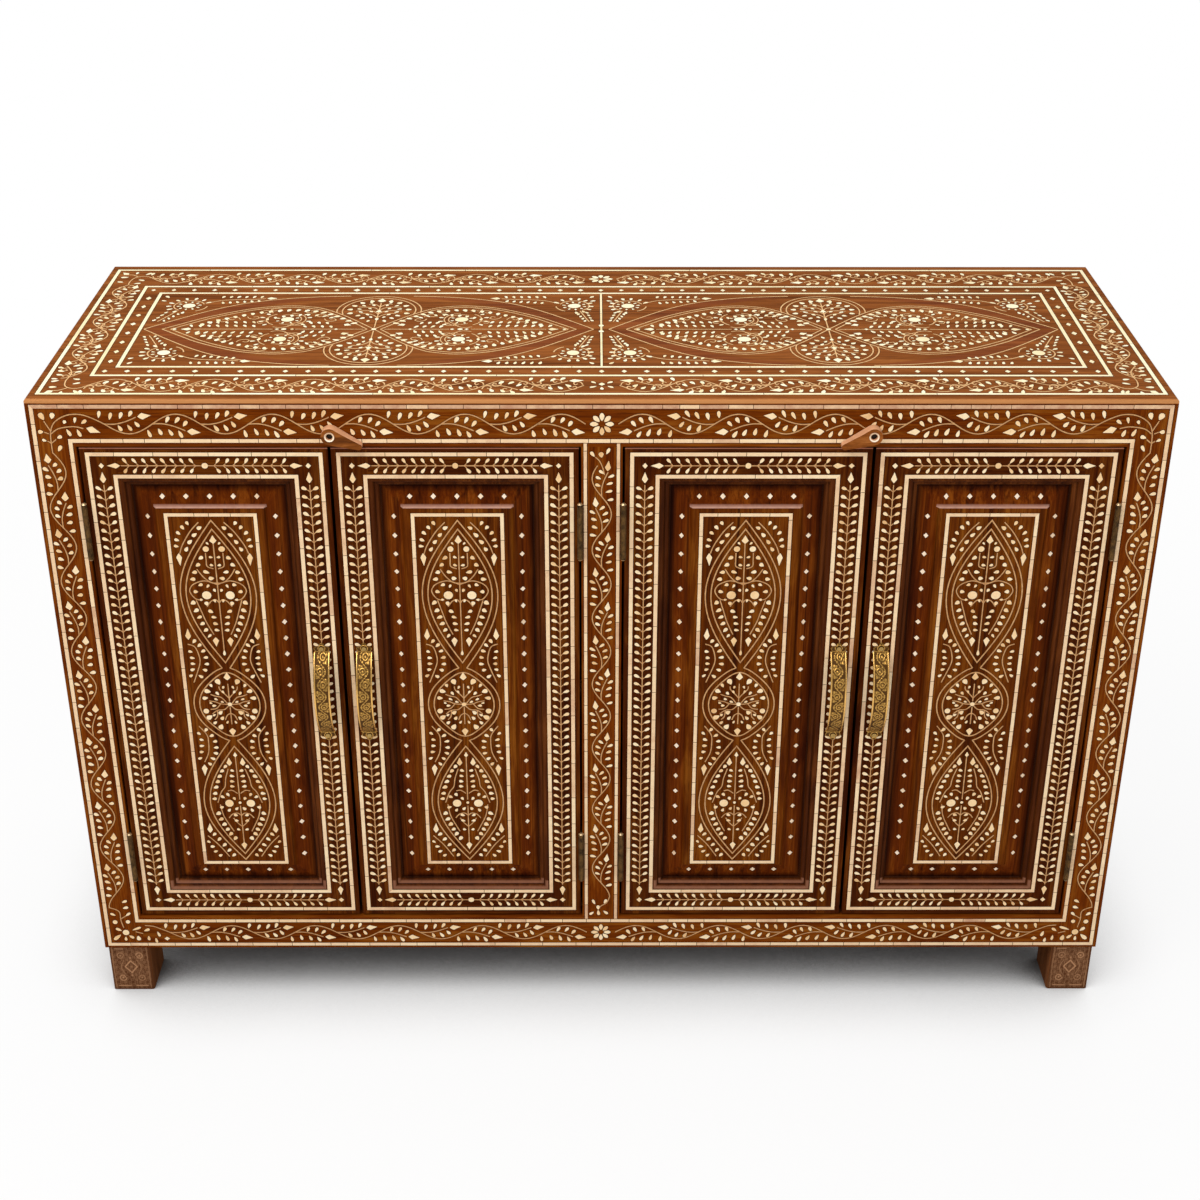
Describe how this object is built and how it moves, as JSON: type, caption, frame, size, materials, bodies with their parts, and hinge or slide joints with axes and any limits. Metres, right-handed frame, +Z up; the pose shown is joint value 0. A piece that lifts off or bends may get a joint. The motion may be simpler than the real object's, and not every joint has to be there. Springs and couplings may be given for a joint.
{
  "type": "inlaid hardwood sideboard",
  "caption": "Low hardwood sideboard with framed panel doors, brass strap handles, wooden turn-buttons and traditional leaf and vine inlay on its front and top.",
  "frame": {"origin": "middle of the whole piece on the floor, handles included", "axes": "+X along the front to its right as seen by someone who stands before it, +Y from front to back, +Z up"},
  "size_m": [1.4, 0.5304, 0.912],
  "materials": {
    "case_wood": "satin, inlaid",
    "top_wood": "satin, inlaid",
    "door_wood": "satin, inlaid",
    "panel_wood": "satin, inlaid",
    "moulding_wood": "satin",
    "inner_wood": "matt",
    "bright_brass": "worn polish",
    "dull_brass": "tarnished",
    "steel": "satin",
    "bone": "satin bone inlay",
    "mastic": "dark mastic round the inlay",
    "stem_wood": "thin light stems of the inlay"
  },
  "bodies": {
    "carcass": {"top_board": "top_wood", "left_side": "case_wood", "right_side": "case_wood", "bottom_board": "inner_wood", "back_panel": "inner_wood", "centre_partition": "inner_wood", "left_shelf": "inner_wood", "right_shelf": "inner_wood", "shelf_cleats": "inner_wood", "frame_top_rail": "case_wood", "frame_bottom_rail": "case_wood", "frame_left_stile": "case_wood", "frame_centre_stile": "case_wood", "frame_right_stile": "case_wood", "door_stops": "inner_wood", "front_left_foot": "case_wood", "front_right_foot": "case_wood", "back_left_foot": "case_wood", "back_right_foot": "case_wood", "frame_hinge_leaves": "dull_brass", "frame_hinge_screws": "steel", "hinge_pins": "dull_brass", "turn_button_screws": "steel", "turn_button_washers": "dull_brass"},
    "left_outer_door": {"left_outer_door_stiles": "door_wood", "left_outer_door_rails": "door_wood", "left_outer_door_panel": "panel_wood", "left_outer_door_moulding": "moulding_wood", "left_outer_door_handle": "bright_brass", "left_outer_door_handle_screws": "steel", "left_outer_door_hinge_leaves": "dull_brass", "left_outer_door_hinge_screws": "steel"},
    "left_inner_door": {"left_inner_door_stiles": "door_wood", "left_inner_door_rails": "door_wood", "left_inner_door_panel": "panel_wood", "left_inner_door_moulding": "moulding_wood", "left_inner_door_handle": "bright_brass", "left_inner_door_handle_screws": "steel", "left_inner_door_hinge_leaves": "dull_brass", "left_inner_door_hinge_screws": "steel"},
    "right_inner_door": {"right_inner_door_stiles": "door_wood", "right_inner_door_rails": "door_wood", "right_inner_door_panel": "panel_wood", "right_inner_door_moulding": "moulding_wood", "right_inner_door_handle": "bright_brass", "right_inner_door_handle_screws": "steel", "right_inner_door_hinge_leaves": "dull_brass", "right_inner_door_hinge_screws": "steel"},
    "right_outer_door": {"right_outer_door_stiles": "door_wood", "right_outer_door_rails": "door_wood", "right_outer_door_panel": "panel_wood", "right_outer_door_moulding": "moulding_wood", "right_outer_door_handle": "bright_brass", "right_outer_door_handle_screws": "steel", "right_outer_door_hinge_leaves": "dull_brass", "right_outer_door_hinge_screws": "steel"},
    "left_turn_button": {"left_turn_button": "moulding_wood"},
    "right_turn_button": {"right_turn_button": "moulding_wood"}
  },
  "joints": [
    {"name": "left_outer_door_hinge", "type": "hinge", "parent": "carcass", "child": "left_outer_door", "pos_m": [-0.643, -0.24275, 0.487], "axis": [0, 0, -1], "range_deg": [0, 170]},
    {"name": "left_inner_door_hinge", "type": "hinge", "parent": "carcass", "child": "left_inner_door", "pos_m": [-0.027, -0.24275, 0.487], "axis": [0, 0, 1], "range_deg": [0, 90]},
    {"name": "right_inner_door_hinge", "type": "hinge", "parent": "carcass", "child": "right_inner_door", "pos_m": [0.027, -0.24275, 0.487], "axis": [0, 0, -1], "range_deg": [0, 90]},
    {"name": "right_outer_door_hinge", "type": "hinge", "parent": "carcass", "child": "right_outer_door", "pos_m": [0.643, -0.24275, 0.487], "axis": [0, 0, 1], "range_deg": [0, 170]},
    {"name": "left_turn_button_pivot", "type": "hinge", "parent": "carcass", "child": "left_turn_button", "pos_m": [-0.331, -0.24625, 0.869], "axis": [0, 1, 0], "continuous": true},
    {"name": "right_turn_button_pivot", "type": "hinge", "parent": "carcass", "child": "right_turn_button", "pos_m": [0.331, -0.24625, 0.869], "axis": [0, -1, 0], "continuous": true}
  ]
}
